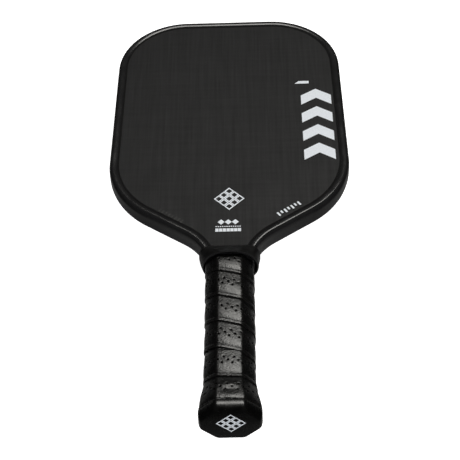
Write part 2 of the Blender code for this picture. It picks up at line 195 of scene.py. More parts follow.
# Butt cap
CAP_CHAMFER = 11.8 * MM
CAP_SEAM = 9.2 * MM
CAP_EDGE_INSET = 2.2 * MM
CAP_EDGE_LENGTH = 5.6 * MM
CAP_EDGE_STEPS = 11
CAP_END_DROP = 0.4 * MM
CAP_CORNER_RADIUS = 3.2 * MM
CAP_END_CORNER_RADIUS = 5.0 * MM
CAP_SEAM_EDGE = ((0.0, 0.35 * MM), (0.12 * MM, 0.1 * MM), (0.4 * MM, 0.0))
CAP_FLOOR = 3.2 * MM
CAP_SKIRT_END = 31.1 * MM
CAP_SKIRT_COVER = 2.0 * MM
CAP_SKIRT_CORNER_RADIUS = 1.0 * MM
CAP_CAVITY_INSET = 2.75 * MM
CAP_RING_POINTS = 128

# Throat collar: place along Y, half width, half depth, and the power of its oval (2 is an ellipse)
COLLAR_WALL = 1.2 * MM
COLLAR_PLACES = (
    (COLLAR_START, 21.0 * MM, COLLAR_HALF_DEPTH, 2.1),
    (145 * MM, 21.9 * MM, 14.3 * MM, 2.9),
    (150 * MM, 22.9 * MM, 11.0 * MM, 4.0),
    (153.3 * MM, 19.6 * MM, 9.1 * MM, 8.0),
)
COLLAR_STEPS = 12
COLLAR_CAVITY_END = 149.5 * MM
COLLAR_CAVITY_STEPS = 8
COLLAR_MOUTH = 1.0 * MM
COLLAR_SPARE = 0.06 * MM
COLLAR_RIM_ROUND = 0.5 * MM
COLLAR_RIM_SHIFT = 0.6 * MM
COLLAR_RING_POINTS = 144

# Printed marks
INK_LIFT = 0.01 * MM
INK_THICKNESS = 0.03 * MM

# Camera, fitted to the paddle's outline
CAMERA_PLACE = (20.86 * MM, BUTT_Y - 499.18 * MM, 737.26 * MM)
CAMERA_PITCH_DEG = 47.46
CAMERA_YAW_DEG = -1.74
CAMERA_ROLL_DEG = -2.63
CAMERA_LENS = 102.92

# Floor, and the unseen table that the paddle reflects, with two oval glows as centre and reach
FLOOR_RADIUS = 12.0
TABLE_RADIUS = 1.5
TABLE_DROP = 0.3 * MM
REST_FROM_TIP = 4 * MM
HANDLE_GLOW = ((0, -30 * MM, 0), (125 * MM, 145 * MM, 125 * MM))
HEAD_GLOW = ((0, 130 * MM, 0), (125 * MM, 160 * MM, 125 * MM))
HEAD_GLOW_LEVEL = 0.22
WORLD_GREY = 0.012


# Outline of the head


def arc(centre, radius, start_deg, end_deg, steps, hollow=False):
    """Stations along an arc: each is a point and the unit vector out of the paddle there."""
    stations = []
    for step in range(steps + 1):
        angle = math.radians(start_deg + (end_deg - start_deg) * step / steps)
        ray = (math.cos(angle), math.sin(angle))
        point = (centre[0] + radius * ray[0], centre[1] + radius * ray[1])
        outward = (-ray[0], -ray[1]) if hollow else ray
        stations.append((point, outward))
    return stations


def corner_centre():
    """Where a corner arc touches both the straight top and the leaning side."""
    lean = math.radians(SIDE_LEAN_DEG)
    centre_x, centre_y = SHOULDER_CENTRE
    rise = LENGTH - CORNER_RADIUS - centre_y
    spare = SHOULDER_RADIUS - CORNER_RADIUS
    return (centre_x + (spare - rise * math.sin(lean)) / math.cos(lean), LENGTH - CORNER_RADIUS)


def neck_arc(end_deg):
    """The hollow arc that touches both the throat line and the neck's half width."""
    angle = math.radians(-THROAT_DEG)
    ray = (math.cos(angle), math.sin(angle))
    centre_x, centre_y = SHOULDER_CENTRE
    across = NECK_HALF_WIDTH + NECK_RADIUS
    reach = SHOULDER_RADIUS + NECK_RADIUS
    run = (across - centre_x - reach * ray[0]) / ray[1]
    centre = (across, centre_y + reach * ray[1] - run * ray[0])
    return arc(centre, NECK_RADIUS, 180 - THROAT_DEG, end_deg, NECK_STEPS, hollow=True)


def mirrored(stations):
    return [((-x, y), (-out_x, out_y)) for (x, y), (out_x, out_y) in stations]


def guard_path():
    """The outline as an open path, from the guard's left end round the head to its right end."""
    right = arc(corner_centre(), CORNER_RADIUS, 90, SIDE_LEAN_DEG, CORNER_STEPS)
    right += arc(SHOULDER_CENTRE, SHOULDER_RADIUS, SIDE_LEAN_DEG, -THROAT_DEG, SHOULDER_STEPS)
    right += neck_arc(GUARD_END_DEG)
    return mirrored(reversed(right)) + right


# Meshes and pieces


def prism(outlines, low, high):
    """Flat outlines, joined where they share corners, carried from one height to another."""
    mesh_data = bmesh.new()
    corners = {}
    bottom = []
    for outline in outlines:
        for x, y in outline:
            if (x, y) not in corners:
                corners[x, y] = mesh_data.verts.new((x, y, low))
        bottom.append(mesh_data.faces.new([corners[point] for point in outline]))
    lifted = bmesh.ops.extrude_face_region(mesh_data, geom=bottom, use_keep_orig=True)
    moving = [item for item in lifted["geom"] if isinstance(item, bmesh.types.BMVert)]
    bmesh.ops.translate(mesh_data, verts=moving, vec=(0, 0, high - low))
    return mesh_data


def bridge(mesh_data, first, second):
    """Faces between two rings of vertices."""
    for index in range(len(first)):
        after = (index + 1) % len(first)
        mesh_data.faces.new((first[index], first[after], second[after], second[index]))


def loft(rings):
    """A capped solid through rings with the same number of points."""
    mesh_data = bmesh.new()
    rows = [[mesh_data.verts.new(point) for point in ring] for ring in rings]
    for first, second in zip(rows, rows[1:]):
        bridge(mesh_data, first, second)
    mesh_data.faces.new(rows[0])
    mesh_data.faces.new(rows[-1])
    return mesh_data


def swept(path, section):
    """A solid whose section, in (inset, height) pairs, follows the outline's path."""
    rings = []
    for (x, y), (out_x, out_y) in path:
        rings.append([(x - out_x * inset, y - out_y * inset, z) for inset, z in section])
    return loft(rings)


def add_cell(mesh_data, grid, column, row, inside_out=False):
    """The face of a vertex grid that starts at a column and row."""
    corners = [grid[column, row], grid[column + 1, row], grid[column + 1, row + 1], grid[column, row + 1]]
    if inside_out:
        corners = corners[:1] + corners[:0:-1]
    mesh_data.faces.new(corners)


def link_object(name, data):
    obj = bpy.data.objects.new(name, data)
    bpy.context.scene.collection.objects.link(obj)
    return obj


def mesh_from(name, mesh_data):
    mesh = bpy.data.meshes.new(name)
    mesh_data.to_mesh(mesh)
    mesh_data.free()
    return mesh


def add_mesh_object(name, mesh_data, sharp_deg=35):
    bmesh.ops.translate(mesh_data, verts=mesh_data.verts, vec=(0, BUTT_Y, 0))
    bmesh.ops.recalc_face_normals(mesh_data, faces=mesh_data.faces)
    mesh = mesh_from(name, mesh_data)
    mesh.shade_smooth()
    mesh.set_sharp_from_angle(angle=math.radians(sharp_deg))
    return link_object(name, mesh)


def add_piece(name, mesh_data, material, stands_for=(), sharp_deg=35):
    """A visible piece that rides on the paddle's one body."""
    obj = add_mesh_object(name, mesh_data, sharp_deg)
    obj.data.materials.append(material)
    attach(obj, "root")
    if stands_for:
        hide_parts(*stands_for)
    return obj


def apply_modifiers(obj):
    """Replaces the object's mesh with its evaluated one."""
    evaluated = obj.evaluated_get(bpy.context.evaluated_depsgraph_get())
    mesh = bpy.data.meshes.new_from_object(evaluated)
    obj.modifiers.clear()
    obj.data = mesh


def subtract(obj, *cutters):
    """Cuts solids out of an object and removes them."""
    for cutter in cutters:
        modifier = obj.modifiers.new("cut", "BOOLEAN")
        modifier.operation = "DIFFERENCE"
        modifier.solver = "EXACT"
        modifier.object = cutter
    apply_modifiers(obj)
    for cutter in cutters:
        bpy.data.objects.remove(cutter, do_unlink=True)


# Materials


def surface(name, **values):
    """A new material with one Principled shader, with values on its own sockets."""
    material = bpy.data.materials.new(name)
    material.use_nodes = True
    shader = material.node_tree.nodes["Principled BSDF"]
    for socket, value in values.items():
        shader.inputs[socket.replace("_", " ")].default_value = value
    return material, material.node_tree, shader


def add_node(tree, kind, inputs=(), **settings):
    """A node whose inputs are numbers, or links from other nodes' outputs."""
    made = tree.nodes.new(kind)
    for key, value in settings.items():
        setattr(made, key, value)
    for key, value in dict(inputs).items():
        if isinstance(value, bpy.types.NodeSocket):
            tree.links.new(value, made.inputs[key])
        else:
            made.inputs[key].default_value = value
    return made


def place_on(tree, stretch=(1, 1, 1)):
    """Coordinates in the row frame, scaled along each axis."""
    source = add_node(tree, "ShaderNodeTexCoord").outputs["Object"]
    return add_node(tree, "ShaderNodeMapping", {"Vector": source, "Scale": stretch}).outputs["Vector"]


def grain(tree, size, detail=3.0, stretch=(1, 1, 1), roughness=0.5):
    """Noise whose cells are about this size, from 0 to 1."""
    inputs = {
        "Vector": place_on(tree, stretch),
        "Scale": 1 / size,
        "Detail": detail,
        "Roughness": roughness,
    }
    return add_node(tree, "ShaderNodeTexNoise", inputs).outputs["Fac"]


def cells(tree, size, feature="F1"):
    """Distance to the middle of a cell of about this size."""
    inputs = {"Vector": place_on(tree), "Scale": 1 / size}
    return add_node(tree, "ShaderNodeTexVoronoi", inputs, feature=feature).outputs["Distance"]


def threads(tree, direction, period):
    """Parallel threads across X or Y with this spacing, slightly wavy, from 0 to 1."""
    inputs = {
        "Vector": place_on(tree),
        "Scale": 2 * math.pi / (20 * period),
        "Distortion": 0.6,
        "Detail": 0.0,
    }
    return add_node(tree, "ShaderNodeTexWave", inputs, bands_direction=direction).outputs["Fac"]


def plain_weave(tree):
    """The face cloth's crossed threads, from 0 to 1."""
    period = 0.42 * MM
    return maths(tree, "MULTIPLY", threads(tree, "X", period), threads(tree, "Y", period))


def maths(tree, operation, first, second):
    return add_node(tree, "ShaderNodeMath", {0: first, 1: second}, operation=operation).outputs["Value"]


def weighted(tree, *parts):
    """The sum of values, each times its weight."""
    scaled = [maths(tree, "MULTIPLY", value, weight) for value, weight in parts]
    total = scaled[0]
    for each in scaled[1:]:
        total = maths(tree, "ADD", total, each)
    return total


def spread(tree, value, low, high, from_low=0.0, from_high=1.0):
    """A value from one range carried onto another."""
    inputs = {"Value": value, "From Min": from_low, "From Max": from_high, "To Min": low, "To Max": high}
    return add_node(tree, "ShaderNodeMapRange", inputs).outputs["Result"]


def tint(tree, factor, stops):
    """Colours by factor, from (place, colour) stops."""
    made = tree.nodes.new("ShaderNodeValToRGB")
    tree.links.new(factor, made.inputs["Fac"])
    elements = made.color_ramp.elements
    while len(elements) < len(stops):
        elements.new(0.5)
    for element, (place, colour) in zip(elements, stops):
        element.position = place
        element.color = (*colour, 1.0)
    return made.outputs["Color"]


def relief(tree, shader, height, depth):
    """Bump of this depth from a height between 0 and 1."""
    made = add_node(tree, "ShaderNodeBump", {"Height": height, "Distance": depth, "Strength": 1.0})
    tree.links.new(made.outputs["Normal"], shader.inputs["Normal"])


def coat(tree, shader, colour, roughness):
    """Links the shader's colour and roughness."""
    tree.links.new(colour, shader.inputs["Base Color"])
    tree.links.new(roughness, shader.inputs["Roughness"])


def edge_wear(tree, base, worn):
    """Blends a colour towards a worn one on convex edges, broken up by noise."""
    convex_from, convex_to = 0.505, 0.53
    pointiness = add_node(tree, "ShaderNodeNewGeometry").outputs["Pointiness"]
    on_edge = spread(tree, pointiness, 0.0, 1.0, convex_from, convex_to)
    patchy = maths(tree, "MULTIPLY", on_edge, grain(tree, 2.5 * MM, detail=4))
    # Inputs 0, 6 and 7 are the factor and the two colours, and output 2 is the mixed colour
    inputs = {0: patchy, 6: base, 7: (*worn, 1.0)}
    return add_node(tree, "ShaderNodeMix", inputs, data_type="RGBA", clamp_factor=True).outputs[2]


def woven_carbon():
    """Raw carbon cloth: fine peel-ply weave, tows along the paddle, and fibre specks."""
    material, tree, shader = surface("woven_carbon", Specular_IOR_Level=0.14)
    weave = plain_weave(tree)
    tows = grain(tree, 1.6 * MM, detail=2, stretch=(1, 0.03, 1))
    picks = grain(tree, 2.2 * MM, detail=2, stretch=(0.05, 1, 1))
    cloud = grain(tree, 22 * MM, detail=3)
    mottled = weighted(tree, (tows, 0.55), (picks, 0.25), (cloud, 0.2))
    tone = weighted(tree, (mottled, 0.85), (weave, 0.15))
    colour = tint(tree, tone, ((0.25, (0.010, 0.010, 0.0104)), (0.75, (0.0195, 0.0195, 0.0202))))
    coat(tree, shader, colour, spread(tree, mottled, 0.6, 0.46, 0.3, 0.7))
    relief(tree, shader, weighted(tree, (weave, 0.7), (cells(tree, 0.5 * MM), 0.3)), 0.02 * MM)
    return material


def moulded_plastic():
    """Satin black guard plastic with a fine moulded grain and rubbed edges."""
    material, tree, shader = surface("guard_plastic", Specular_IOR_Level=0.4)
    flow = grain(tree, 9 * MM, detail=4, stretch=(1, 0.5, 1))
    base = tint(tree, flow, ((0.3, (0.009, 0.009, 0.0092)), (0.7, (0.0135, 0.0135, 0.0139))))
    colour = edge_wear(tree, base, (0.018, 0.018, 0.0185))
    coat(tree, shader, colour, spread(tree, flow, 0.16, 0.22, 0.3, 0.7))
    pebbles = maths(tree, "ADD", cells(tree, 0.45 * MM), grain(tree, 1.4 * MM, detail=2))
    relief(tree, shader, pebbles, 0.008 * MM)
    return material


def moulded_rubber(name, dark, light, roughness, stipple, level):
    """Black rubber with faint flow marks and a stippled skin."""
    material, tree, shader = surface(name, Specular_IOR_Level=level)
    flow = grain(tree, 7 * MM, detail=4)
    base = tint(tree, flow, ((0.3, dark), (0.7, light)))
    worn = tuple(3 * value for value in light)
    coat(tree, shader, edge_wear(tree, base, worn), spread(tree, flow, *roughness, 0.3, 0.7))
    relief(tree, shader, grain(tree, stipple, detail=2), 0.012 * MM)
    return material


def grip_leather():
    """Synthetic leather: pebbled grain, creases, satin with duller and shinier patches."""
    material, tree, shader = surface("grip_leather", Specular_IOR_Level=0.47, Sheen_Weight=0.002)
    patches = grain(tree, 6 * MM, detail=4, roughness=0.6)
    base = tint(tree, patches, ((0.3, (0.0012,) * 3), (0.7, (0.0035, 0.0034, 0.0033))))
    colour = edge_wear(tree, base, (0.01, 0.0095, 0.009))
    coat(tree, shader, colour, spread(tree, patches, 0.32, 0.24, 0.3, 0.7))
    pebbles = cells(tree, 0.8 * MM, feature="SMOOTH_F1")
    creases = grain(tree, 1.0 * MM, detail=2)
    relief(tree, shader, weighted(tree, (pebbles, 1.0), (creases, 0.5)), 0.11 * MM)
    return material


def printed_ink(name, dark, light, roughness):
    """Screen ink over the weave: slightly uneven, with the cloth showing through as relief."""
    material, tree, shader = surface(name, Specular_IOR_Level=0.3, Roughness=roughness)
    cover = grain(tree, 1.1 * MM, detail=5, roughness=0.65)
    tree.links.new(tint(tree, cover, ((0.3, dark), (0.65, light))), shader.inputs["Base Color"])
    relief(tree, shader, plain_weave(tree), 0.012 * MM)
    return material


def plain_stock(name, dark, light, roughness, size, depth, stretch=(1, 1, 1), **values):
    """A streaky or speckled finish for the pieces under the surface."""
    material, tree, shader = surface(name, **values)
    streaks = grain(tree, size, detail=4, stretch=stretch)
    colour = tint(tree, streaks, ((0.3, dark), (0.7, light)))
    coat(tree, shader, colour, spread(tree, streaks, *roughness, 0.3, 0.7))
    relief(tree, shader, streaks, depth)
    return material


def bead_foam():
    """Moulded bead foam of the handle pallets."""
    material, tree, shader = surface("pallet_foam")
    beads = cells(tree, 2.4 * MM)
    tone = weighted(tree, (beads, 1.0), (grain(tree, 0.6 * MM), 0.3))
    colour = tint(tree, tone, ((0.2, (0.1,) * 3), (0.9, (0.04,) * 3)))
    coat(tree, shader, colour, spread(tree, beads, 0.7, 0.9))
    relief(tree, shader, beads, -0.15 * MM)
    return material


def dress_cad_nodes():
    """Gives the CAD nodes that are kept their finishes."""
    carbon = woven_carbon()
    looks = (0.45, 0.45, 0.46), (0.65, 0.65, 0.66), (0.25, 0.45)
    steel = plain_stock("fastener_steel", *looks, 0.5 * MM, 0.004 * MM, stretch=(0.1, 1, 1), Metallic=1.0)
    foam = bead_foam()
    looks = (0.6, 0.6, 0.57), (0.8, 0.8, 0.77), (0.45, 0.65)
    along_cells = {"stretch": (1, 1, 0.1), "Subsurface_Weight": 0.1}
    honeycomb = plain_stock("honeycomb_plastic", *looks, 3 * MM, 0.02 * MM, **along_cells)
    looks = (0.4, 0.4, 0.38), (0.6, 0.6, 0.57), (0.65, 0.85)
    tape = plain_stock("bonding_tape", *looks, 0.8 * MM, 0.03 * MM)
    looks = (0.006,) * 3, (0.014, 0.014, 0.015), (0.3, 0.45)
    vinyl = plain_stock("finishing_vinyl", *looks, 2 * MM, 0.01 * MM, stretch=(1, 0.1, 1))
    finishes = (
        (carbon, ("front_face_sheet", "back_face_sheet")),
        (honeycomb, ("core_panel",)),
        (tape, ("guard_bonding_tape",)),
        (foam, ("front_pallet", "back_pallet")),
        (steel, ("front_cap_staple", "back_cap_staple", "grip_tack")),
        (vinyl, ("finishing_tape",)),
    )
    for material, node_names in finishes:
        for node_name in node_names:
            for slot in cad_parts[node_name].material_slots:
                slot.material = material


# Edge guard


def guard_profile():
    """Upper half of the guard's outside as (inset, height) pairs, from the web to the lip."""
    points = [(0.0, 0.0)]
    for step in range(GUARD_EDGE_STEPS + 1):
        angle = math.pi / 2 * step / GUARD_EDGE_STEPS
        inset = GUARD_EDGE_INSET * (1 - math.cos(angle))
        points.append((inset, GUARD_HALF_THICKNESS - GUARD_EDGE_HEIGHT * (1 - math.sin(angle))))
    run = GUARD_DOME_END - GUARD_EDGE_INSET
    for step in range(1, GUARD_DOME_STEPS + 1):
        share = step / GUARD_DOME_STEPS
        points.append((GUARD_EDGE_INSET + run * share, GUARD_HALF_THICKNESS - GUARD_DOME_DROP * share**2.5))
    return points


def guard_section():
    """The guard's U: outside, round lip edges, and the slot that holds the panel."""
    upper = guard_profile()
    lip_top = upper[-1][1]
    under = FACE_HEIGHT + LIP_REST
    upper.append((GUARD_DOME_END + LIP_EDGE, lip_top - 0.6 * LIP_EDGE))
    upper += [(GUARD_LIP, under), (GUARD_WEB, under), (GUARD_WEB, 0.0)]
    return upper + [(inset, -z) for inset, z in reversed(upper[1:-1])]


def shade_bead_section():
    """A thin near-black bead in the corner between the guard's lip and the face, painted shade for the
    shadow of the gap there.
    """
    base = FACE_HEIGHT + 0.3 * LIP_REST
    inner = GUARD_LIP + SHADE_BEAD_WIDTH
    middle = (GUARD_LIP + 0.5 * SHADE_BEAD_WIDTH, base + 0.5 * SHADE_BEAD_HEIGHT)
    return [(GUARD_LIP, base), (GUARD_LIP, base + SHADE_BEAD_HEIGHT), middle, (inner, base)]


def build_guard(plastic, shade_bead):
    path = guard_path()
    add_piece("guard_shell", swept(path, guard_section()), plastic, ("edge_guard",))
    # The near-black beads along both lips are painted shade for the shadow of the gap between lip and face
    front = shade_bead_section()
    back = [(inset, -z) for inset, z in front]
    for side, section in (("front", front), ("back", back)):
        add_piece(side + "_lip_shade_bead", swept(path, section), shade_bead)


# Handle


def shrunk(section, inset):
    """An octagon's half width, half depth and chamfer with every side moved in."""
    width, depth, chamfer = section
    return (width - inset, depth - inset, chamfer - inset * DIAGONAL_SHRINK)


def clamped(share):
    return min(max(share, 0.0), 1.0)


def flared(y):
    """The grip's outer octagon at y: it widens evenly towards the butt and levels out above the cap."""
    share = 0.0
    for shift in (-1, -0.5, 0, 0.5, 1):
        down = (FLARE_TOP - y - shift * FLARE_SOFTNESS) / (FLARE_TOP - FLARE_LEVEL)
        share += clamped(down) / 5
    return tuple(a + (b - a) * share for a, b in zip(GRIP_SECTION, FLARED_GRIP_SECTION))


def octagon_corners(section):
    """The eight corners from the right end of the front facet, turning towards the left."""
    width, depth, chamfer = section
    first = [(width - chamfer, depth), (-(width - chamfer), depth), (-width, depth - chamfer)]
    first += [(-width, -(depth - chamfer))]
    return first + [(-x, -z) for x, z in first]


class Outline:
    """A round-cornered octagon measured along its outline, starting mid front and turning left."""

    def __init__(self, section, radius):
        self.radius = radius
        corners = octagon_corners(shrunk(section, radius))
        self.spans = []
        run = 0.0
        for index in range(8):
            start, end = Vector(corners[index]), Vector(corners[(index + 1) % 8])
            self.spans.append((run, "facet", index))
            run += (end - start).length
            self.spans.append((run, "corner", index))
            run += radius * math.pi / 4
        self.length = run
        self.front = (Vector(corners[1]) - Vector(corners[0])).length / 2

    def locate(self, distance):
        """Which facet or corner holds a distance along the outline, and how far through it."""
        distance = (distance + self.front) % self.length
        for number, (start, kind, index) in enumerate(self.spans):
            end = self.spans[number + 1][0] if number + 1 < len(self.spans) else self.length
            if distance < end:
                return kind, index, (distance - start) / (end - start)
        return "facet", 0, 0.0


def facet_angle(index):
    """Direction that a facet faces, in radians from +X towards +Z."""
    return math.pi / 2 + index * math.pi / 4


def on_section(spot, section, radius, height):
    """The point at a spot of the outline, on another section, lifted by height."""
    kind, index, share = spot
    corners = octagon_corners(shrunk(section, radius))
    start, end = Vector(corners[index]), Vector(corners[(index + 1) % 8])
    if kind == "facet":
        base, angle = start.lerp(end, share), facet_angle(index)
    else:
        base, angle = end, facet_angle(index) + share * math.pi / 4
    return base + (radius + height) * Vector((math.cos(angle), math.sin(angle)))


def section_ring(section, radius, y, count):
    """A closed ring round a rounded octagon at y."""
    outline = Outline(section, radius)
    ring = []
    for step in range(count):
        x, z = on_section(outline.locate(outline.length * step / count), section, radius, 0.0)
        ring.append((x, y, z))
    return ring


# Grip strip


def step_between(value, low, high):
    """A smooth step, from 0 at one value to 1 at the other."""
    share = clamped((value - low) / (high - low))
    return share * share * (3 - 2 * share)


def strip_top(across):
    """Height of the strip's outside, from its lower edge to its upper edge under the next turn."""
    crown = -ACROSS_CROWN * (1 - math.cos(math.pi * across / TURN_PITCH))
    groove = -GROOVE_DEPTH * math.exp(-(((across - GROOVE_PLACE) / GROOVE_RADIUS) ** 2))
    rounding = clamped((PAD_END - across) / PAD_ROUNDING)
    pad = -PAD_DROP * rounding**2 * step_between(across, *HEM_EDGE)
    fall = -FALL * step_between(across, FALL_START, TURN_PITCH)
    tuck = -TUCK * step_between(across, TURN_PITCH - TUCK_LENGTH, TURN_PITCH)
    skive = -SKIVE * step_between(across, TURN_PITCH, STRIP_WIDTH)
    return crown + groove + pad + fall + tuck + skive


def strip_under(across):
    """Height of the strip's inside: over the turn below at its lower edge, and on the handle beyond."""
    if across >= STRIP_OVERLAP:
        return STRIP_INNER
    resting = strip_top(across + TURN_PITCH) + STRIP_REST
    return resting + (STRIP_INNER - resting) * step_between(across, 0.6 * STRIP_OVERLAP, STRIP_OVERLAP)


def top_rows():
    """Places across the strip with a row of vertices, finer at its edges and in the perforated band."""
    lower = [0.12, 0.35, 0.8, 1.4, 2.0, 2.3, 2.5, 2.65, 2.8, 3.0, 3.35, 3.9, 4.8, 6.0, 7.3, 8.7]
    upper = [19.0, 20.2, 21.2, 21.9, 22.4, 22.8, 23.1, 23.3, 23.6, 24.3, 25.3, 26.1]
    holes = [HOLE_ROWS_START + HOLE_ROW_STEP * row for row in range(HOLE_BAND_ROWS)]
    return [mm * MM for mm in lower] + holes + [mm * MM for mm in upper]


def under_rows():
    """The same for the strip's inside, where only the overlap is fine."""
    overlap = [0.0, 0.8 * MM] + [STRIP_OVERLAP * share for share in (0.6, 0.8, 1.0)]
    return overlap + [mm * MM for mm in (12, 20, 23.3, 26.2)]


def handle_drop(y):
    """How far the handle's front and back fall where it thins and ramps down to the face."""
    thinning = THINNING * clamped((y - THINNING_START) / (RAMP_START - THINNING_START)) ** 2
    return thinning + max(0.0, y - RAMP_START) * RAMP_SLOPE


def simulated(sheet):
    """Where the sheet's vertices are after twenty frames of pressure from inside, held at its edges."""
    cloth = sheet.modifiers.new("cloth", "CLOTH")
    cloth.settings.quality = 6
    cloth.settings.mass = 0.002
    cloth.settings.use_pressure = True
    cloth.settings.uniform_pressure_force = 4.0
    cloth.settings.vertex_group_mass = "held"
    cloth.settings.effector_weights.gravity = 0.0
    cloth.point_cache.frame_start = 1
    cloth.point_cache.frame_end = SWELL_FRAMES
    for frame_number in range(1, SWELL_FRAMES + 1):
        bpy.context.scene.frame_set(frame_number)
    evaluated = sheet.evaluated_get(bpy.context.evaluated_depsgraph_get())
    places = [vertex.co.copy() for vertex in evaluated.data.vertices]
    bpy.data.objects.remove(sheet, do_unlink=True)
    bpy.context.scene.frame_set(1)
    return places


def climbed(turn):
    """Turns climbed at a turn of the strip, counted from the seam mid front."""
    level = (LOWEST_LEVEL + FRONT_CLIMB) * step_between(-turn, *LEVELLING_TURNS) - FRONT_CLIMB
    return turn - level * math.sin(2 * math.pi * turn) / (2 * math.pi)


class Strip:
    """Carries points on the flat strip, as distance along, place across and height, onto the handle."""

    def __init__(self):
        self.outline = Outline(GRIP_SECTION, GRIP_CORNER_RADIUS)
        self.column = self.outline.length / HOLE_PITCHES_PER_TURN / COLUMNS_PER_PITCH
        self.swell_start = 0.0
        self.swell = []

    def along_at(self, column):
        return HOLE_PHASE + column * self.column

    def y_at(self, along, across):
        return SEAM_AT_FRONT + TURN_PITCH * climbed(along / self.outline.length) + across

    def place(self, along, across, height):
        y = self.y_at(along, across)
        width, depth, chamfer = flared(y)
        drop = handle_drop(y)
        section = (width, depth - drop, chamfer - drop / 2)
        if y > FINISH_TAPE_START:
            height -= FINISH_TAPE_ROOM * min(1.0, (y - FINISH_TAPE_START) / FINISH_TAPE_EDGE)
        height -= END_ROUND * math.exp(-max(y - GRIP_START, 0.0) / END_ROUND_LENGTH)
        x, z = on_section(self.outline.locate(along), section, GRIP_CORNER_RADIUS, height)
        sway = step_between(y, *SWAY_START) * (1 - step_between(y, *SWAY_END))
        return Vector((x - SWAY * sway, y, z))

    def top_point(self, along, across, sink=0.0, floor=-math.inf):
        """A point on the strip's outside, or sunk from it as far as a floor."""
        height = strip_top(across) + self.uneven(along, across) - sink
        return self.place(along, across, max(height, floor))

    def under_point(self, along, across):
        lift = self.uneven(along, across) if across < STRIP_OVERLAP else 0.0
        return self.place(along, across, strip_under(across) + lift)

    def uneven(self, along, across):
        """Slow bumps of the cushioning, a slight crown on each facet, and a ripple in the lowest turn."""
        spot = self.outline.locate(along)
        seed = Vector((along / BUMP_SIZE, across / BUMP_SIZE, 3.7))
        bumps = BUMP_HEIGHT * noise.noise(seed) + FINE_BUMP_HEIGHT * noise.noise(seed * 2.7)
        facet = FACET_CROWN * (1 - (2 * spot[2] - 1) ** 2) if spot[0] == "facet" else 0.0
        ripple = self.ripple(spot, self.y_at(along, across))
        return bumps + facet + ripple + self.swelling(along, across)

    def ripple(self, spot, y):
        """A dip and a rise on the front facet, where the lowest turn is stretched over the flare."""
        if spot[:2] != ("facet", 0):
            return 0.0
        off_middle = (spot[2] - 0.5) / RIPPLE_WIDTH_SHARE
        off_level = (y - RIPPLE_PLACE) / RIPPLE_LENGTH
        wave = math.sin(2 * math.pi * off_level) * math.exp(-RIPPLE_FADING * off_level**2)
        return RIPPLE_HEIGHT * wave * math.exp(-(off_middle**2))

    def swelling(self, along, across):
        """Rise of the inflated cushion here, between the columns and rows of its grid."""
        if not self.swell:
            return 0.0
        column = min(max((along - self.swell_start) / SWELL_STEP, 0.0), len(self.swell) - 1.001)
        row = min(across / TURN_PITCH, 0.999) * (SWELL_ROWS - 1)
        i, j = int(column), int(row)
        s, t = column - i, row - j
        near = self.swell[i][j] * (1 - t) + self.swell[i][j + 1] * t
        far = self.swell[i + 1][j] * (1 - t) + self.swell[i + 1][j + 1] * t
        return near * (1 - s) + far * s

    def inflate(self, start, end):
        """Inflates the cushion between its seams with a cloth simulation, and keeps how far it rises."""
        self.swell_start = start
        columns = math.ceil((end - start) / SWELL_STEP) + 1
        mesh_data = bmesh.new()
        grid = {}
        for column in range(columns):
            for row in range(SWELL_ROWS):
                along, across = start + column * SWELL_STEP, TURN_PITCH * row / (SWELL_ROWS - 1)
                grid[column, row] = mesh_data.verts.new(self.place(along, across, strip_top(across)))
        for column in range(columns - 1):
            for row in range(SWELL_ROWS - 1):
                add_cell(mesh_data, grid, column, row)
        sheet = add_mesh_object("cushion", mesh_data)
        edge_rows = (0, 1, SWELL_ROWS - 1)
        held = [column * SWELL_ROWS + row for column in range(columns) for row in edge_rows]
        sheet.vertex_groups.new(name="held").add(held, 1.0, "REPLACE")
        before = [vertex.co.copy() for vertex in sheet.data.vertices]
        rise = [(new - old).length for new, old in zip(simulated(sheet), before)]
        unit = SWELL_HEIGHT / max(rise)
        for column in range(columns):
            in_column = rise[column * SWELL_ROWS : (column + 1) * SWELL_ROWS]
            self.swell.append([unit * each for each in in_column])


def strip_columns():
    """The first and last column of the strip's grid, a little beyond the two ends of the grip."""
    start_turn = (GRIP_START - STRIP_WIDTH - SEAM_AT_FRONT) / TURN_PITCH
    end_turn = (GRIP_END - SEAM_AT_FRONT) / TURN_PITCH
    per_turn = HOLE_PITCHES_PER_TURN * COLUMNS_PER_PITCH
    return math.floor(start_turn * per_turn) - 2, math.ceil(end_turn * per_turn) + 2


def build_strip_mesh():
    """The whole strip as a closed mesh, with its perforations as pits."""
    strip = Strip()
    first, last = strip_columns()
    strip.inflate(first * strip.column, last * strip.column)

    rows = top_rows()
    centres = hole_centres(first, last, rows.index(HOLE_ROWS_START))
    pitted = {cell for centre in centres for cell in block_round(centre, -2, 2)}
    hidden = {vertex for centre in centres for vertex in block_round(centre, -1, 2)}
    mesh_data = bmesh.new()
    top, under = {}, {}
    for column in range(first, last + 1):
        for row, across in enumerate(rows):
            if (column, row) not in hidden:
                top[column, row] = mesh_data.verts.new(strip.top_point(strip.along_at(column), across))
    for column in range(first, last + 1):
        for row, across in enumerate(under_rows()):
            under[column, row] = mesh_data.verts.new(strip.under_point(strip.along_at(column), across))

    top_end, under_end = len(rows) - 1, len(under_rows()) - 1
    for column in range(first, last):
        after = column + 1
        for row in range(top_end):
            if (column, row) not in pitted:
                add_cell(mesh_data, top, column, row)
        for row in range(under_end):
            add_cell(mesh_data, under, column, row, inside_out=True)
        mesh_data.faces.new((top[column, 0], under[column, 0], under[after, 0], top[after, 0]))
        upper_edge = [top[column, top_end], top[after, top_end]]
        upper_edge += [under[after, under_end], under[column, under_end]]
        mesh_data.faces.new(upper_edge)
    for column in (first, last):
        rim = [top[column, row] for row in range(top_end + 1)]
        rim += [under[column, row] for row in range(under_end, -1, -1)]
        mesh_data.faces.new(rim)
    for centre in centres:
        add_hole(mesh_data, strip, top, centre, rows)
    return mesh_data


